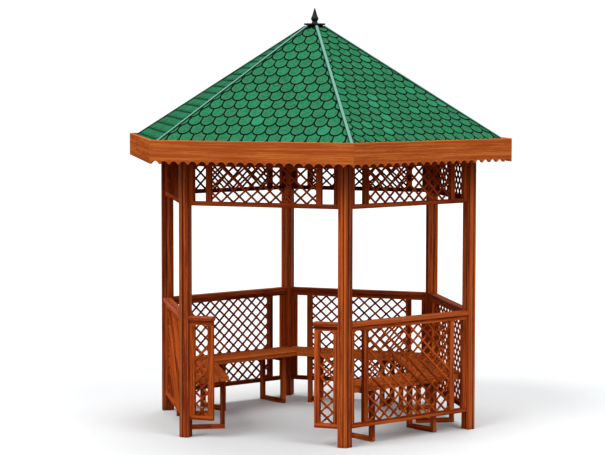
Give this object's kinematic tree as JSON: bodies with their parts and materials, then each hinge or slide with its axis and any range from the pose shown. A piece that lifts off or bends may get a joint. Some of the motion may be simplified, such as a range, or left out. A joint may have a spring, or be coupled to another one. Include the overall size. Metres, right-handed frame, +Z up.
{
  "type": "garden gazebo",
  "caption": "Six-sided open timber garden gazebo with lattice railings and frieze, a ring of benches, a scalloped eaves board and a green shingled pyramid roof with a black spike.",
  "frame": {"origin": "on the ground, on the axis of the hexagon", "axes": "+Z up, -Y out through the entrance, +X to the right of someone looking in from the entrance's side along +Y"},
  "size_m": [3.3274, 2.8816, 3.3878],
  "materials": {
    "post_timber": "stained and oiled, satin",
    "panel_timber": "stained and oiled, satin",
    "seat_timber": "stained and oiled, satin",
    "eaves_timber": "stained and oiled, satin",
    "roof_timber": "stained, matt",
    "shingles": "green stained, matt",
    "hip_battens": "pale green paint, matt",
    "spike": "black paint, satin"
  },
  "bodies": {
    "root": {"post_front_left": "post_timber", "post_front_right": "post_timber", "post_right": "post_timber", "post_back_right": "post_timber", "post_back_left": "post_timber", "post_left": "post_timber", "railing_right_front": "panel_timber", "railing_right_back": "panel_timber", "railing_back": "panel_timber", "railing_left_back": "panel_timber", "railing_left_front": "panel_timber", "entrance_panels": "panel_timber", "handrails": "panel_timber", "frieze_front": "panel_timber", "frieze_right_front": "panel_timber", "frieze_right_back": "panel_timber", "frieze_back": "panel_timber", "frieze_left_back": "panel_timber", "frieze_left_front": "panel_timber", "bench_seat_right_front": "seat_timber", "bench_seat_right_back": "seat_timber", "bench_seat_back": "seat_timber", "bench_seat_left_back": "seat_timber", "bench_seat_left_front": "seat_timber", "bench_legs_right_front": "seat_timber", "bench_legs_right_back": "seat_timber", "bench_legs_back": "seat_timber", "bench_legs_left_back": "seat_timber", "bench_legs_left_front": "seat_timber", "eaves_board_front": "eaves_timber", "eaves_board_right_front": "eaves_timber", "eaves_board_right_back": "eaves_timber", "eaves_board_back": "eaves_timber", "eaves_board_left_back": "eaves_timber", "eaves_board_left_front": "eaves_timber", "roof_face_front": "shingles", "roof_face_right_front": "shingles", "roof_face_right_back": "shingles", "roof_face_back": "shingles", "roof_face_left_back": "shingles", "roof_face_left_front": "shingles", "hip_battens": "hip_battens", "hip_rafters": "roof_timber", "roof_boss": "roof_timber", "roof_spike": "spike"}
  },
  "joints": []
}
